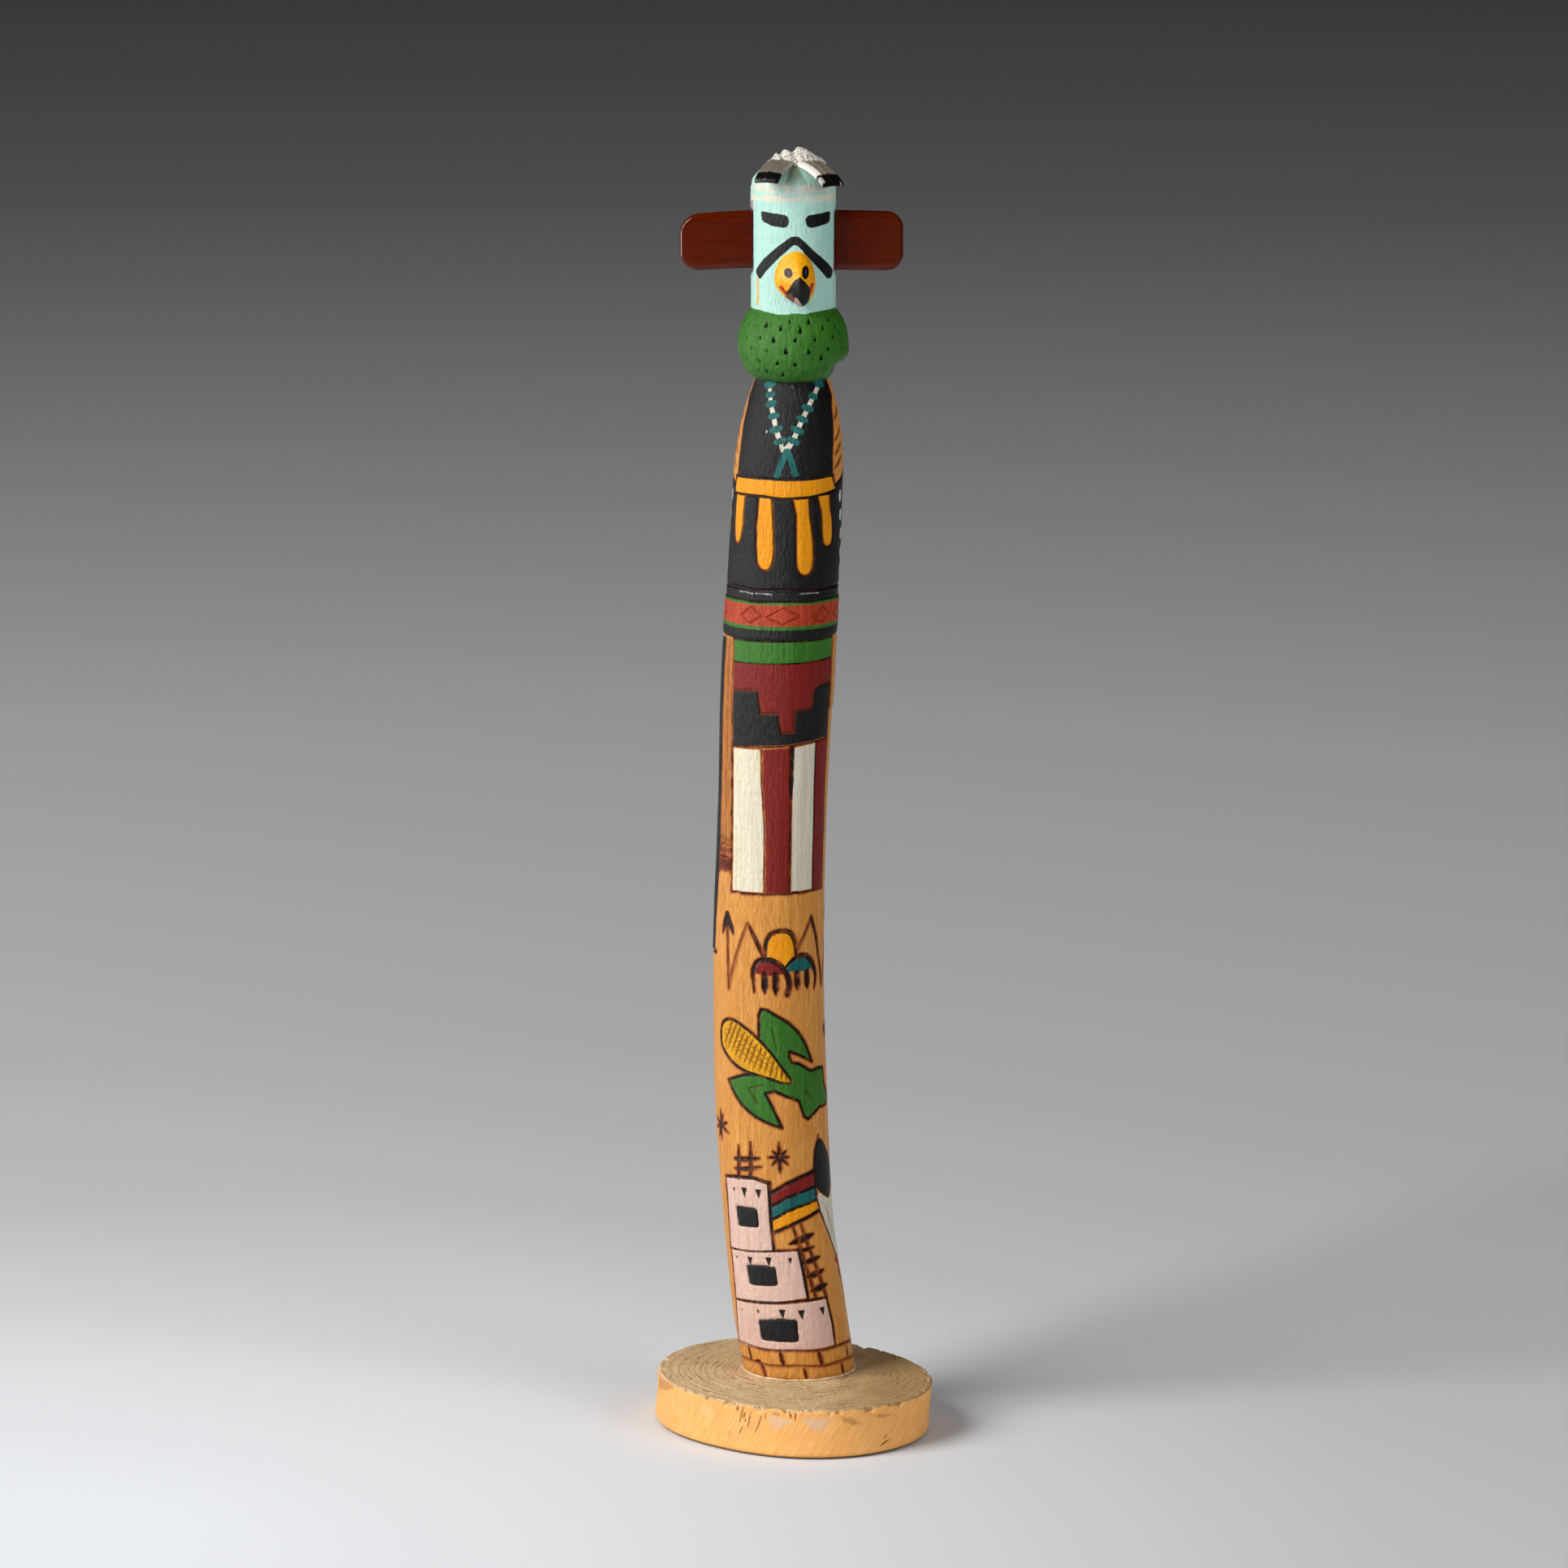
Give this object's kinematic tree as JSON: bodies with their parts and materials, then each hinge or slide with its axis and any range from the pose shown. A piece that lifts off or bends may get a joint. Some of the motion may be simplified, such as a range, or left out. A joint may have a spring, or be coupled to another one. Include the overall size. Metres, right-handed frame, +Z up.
{
  "type": "carved kachina doll",
  "caption": "Painted and wood-burned kachina doll carved from one bowed root, standing on a sawn slice of branch.",
  "frame": {"origin": "centre of the disk's underside, on the surface it stands on", "axes": "+Z up along the figure, -Y towards the face, +X to the viewer's right"},
  "size_m": [0.0864, 0.0836, 0.398],
  "materials": {
    "branch_wood": "bare sawn wood, weathered grey-brown on top, with torn grain and chips round the rim",
    "painted_root": "bare and hand-painted wood under a thin satin varnish, with burned outline grooves",
    "varnished_wood": "dark red-brown stain under glossy varnish",
    "painted_snout": "yellow-orange hand paint, black beak, satin",
    "painted_feather": "taupe paint with black tips, satin",
    "down": "matted white down, matt"
  },
  "bodies": {
    "root": {"base_disk": "branch_wood", "figure": "painted_root", "ear_left": "varnished_wood", "ear_right": "varnished_wood", "bird_snout": "painted_snout", "feather_left": "painted_feather", "feather_right": "painted_feather", "down_tuft": "down"}
  },
  "joints": []
}
